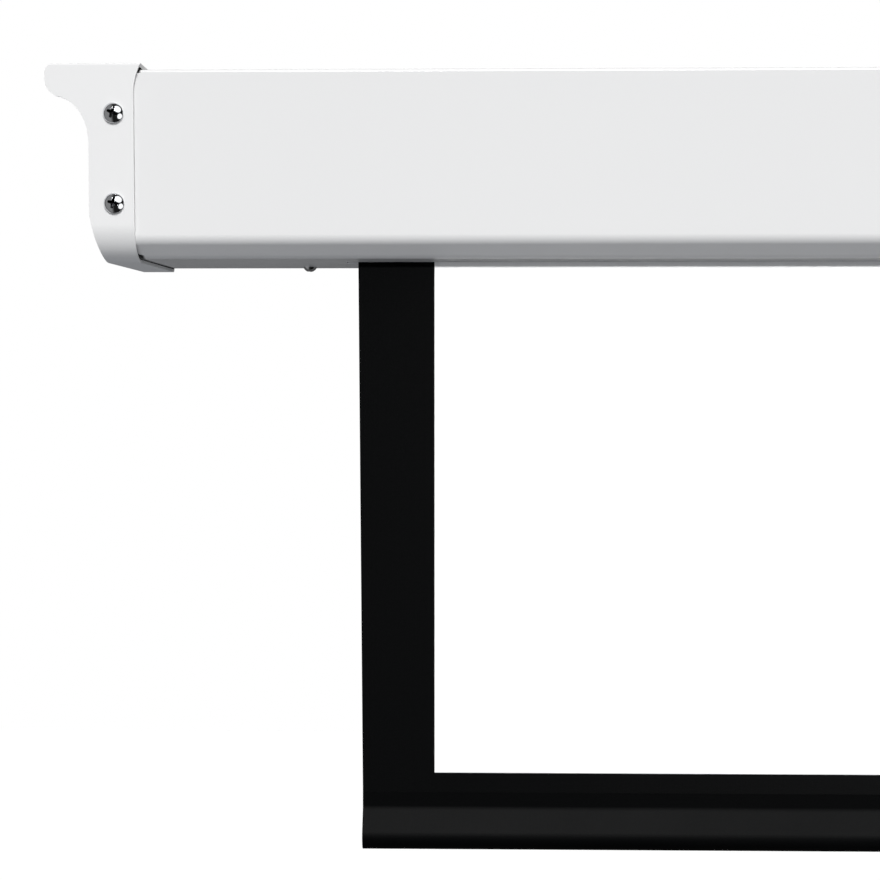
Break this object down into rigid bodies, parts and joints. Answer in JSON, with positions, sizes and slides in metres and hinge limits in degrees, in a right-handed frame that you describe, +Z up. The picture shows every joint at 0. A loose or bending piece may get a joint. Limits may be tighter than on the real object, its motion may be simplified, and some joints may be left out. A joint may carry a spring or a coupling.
{
  "type": "motorized projector screen",
  "caption": "Ceiling or wall mounted box casing with a motor-driven roller, a matte white screen with a black border and a weighted bottom hem.",
  "frame": {"origin": "in the plane of the ceiling that the end brackets' tops bear on, midway between the two brackets and midway through their depth", "axes": "+X along the casing towards the motor end, which is the right end seen from the front; +Y from the front towards the wall; +Z up"},
  "size_m": [2.3474, 0.0899, 0.334],
  "materials": {
    "white_paint": "satin white powder coat on sheet steel",
    "white_plastic": "satin moulded plastic",
    "black_plastic": "matt moulded plastic",
    "grey_plastic": "matt moulded plastic",
    "chrome": "bright chrome plating",
    "zinc_steel": "zinc-plated steel",
    "bright_steel": "ground bright steel",
    "screen_white": "matt white coated projection fabric",
    "screen_black": "matt black coated fabric",
    "board_green": "printed circuit board",
    "cable_black": "black cable sheath"
  },
  "bodies": {
    "root": {"casing": "white_paint", "left_end_bracket": "white_plastic", "right_end_bracket": "white_plastic", "left_upper_bracket_screw": "chrome", "left_lower_bracket_screw": "chrome", "right_upper_bracket_screw": "chrome", "right_lower_bracket_screw": "chrome", "idler_support_screw": "zinc_steel", "motor_support_screw": "zinc_steel", "idler_support": "zinc_steel", "idler_pin": "bright_steel", "idler_pin_nut": "zinc_steel", "bearing_inner_race": "bright_steel", "idler_clip": "zinc_steel", "motor_tube": "zinc_steel", "motor_head": "black_plastic", "motor_support": "zinc_steel", "upper_motor_screw": "zinc_steel", "lower_motor_screw": "zinc_steel", "motor_lead": "cable_black", "control_box": "white_plastic", "control_box_lid": "white_plastic", "control_board": "board_green", "terminal_block": "grey_plastic", "cable_gland": "black_plastic", "gland_nut": "black_plastic", "screen_fabric": "screen_white"},
    "roller": {"roller_tube": "zinc_steel", "fabric_roll": "screen_black", "idler_plug": "black_plastic", "bearing_outer_race": "bright_steel", "crown_ring": "black_plastic", "motor_output_shaft": "bright_steel", "drive_wheel": "black_plastic", "drive_wheel_clip": "zinc_steel"},
    "bearing_balls": {"ball_cage": "bright_steel"},
    "bottom_bar": {"hem_pocket": "screen_black", "weight_bar": "zinc_steel", "left_bar_plug": "black_plastic", "right_bar_plug": "black_plastic"},
    "up_limit": {"up_limit_screw": "white_plastic"},
    "down_limit": {"down_limit_screw": "white_plastic"}
  },
  "joints": [
    {"name": "roller_spin", "type": "hinge", "parent": "root", "child": "roller", "pos_m": [0, 0.016, -0.038], "axis": [1, 0, 0], "range_deg": [-603, 3407]},
    {"name": "ball_cage_turn", "type": "hinge", "parent": "root", "child": "bearing_balls", "pos_m": [-1.0565, 0.016, -0.038], "axis": [1, 0, 0], "range_deg": [-377, 2130]},
    {"name": "bottom_bar_travel", "type": "slide", "parent": "root", "child": "bottom_bar", "axis": [0, 0, -1], "range_m": [-0.238, 1.344], "deforming": ["screen_fabric"]},
    {"name": "up_limit_turn", "type": "hinge", "parent": "root", "child": "up_limit", "pos_m": [1.0797, 0.008, -0.026], "axis": [1, 0, 0], "range_deg": [-1800, 1800]},
    {"name": "down_limit_turn", "type": "hinge", "parent": "root", "child": "down_limit", "pos_m": [1.0797, 0.0024, -0.034], "axis": [1, 0, 0], "range_deg": [-1800, 1800]}
  ],
  "couplings": [
    {"joint": "bottom_bar_travel", "follows": "roller_spin", "m_per_rad": 0.0226},
    {"joint": "ball_cage_turn", "follows": "roller_spin", "ratio": 0.625}
  ]
}
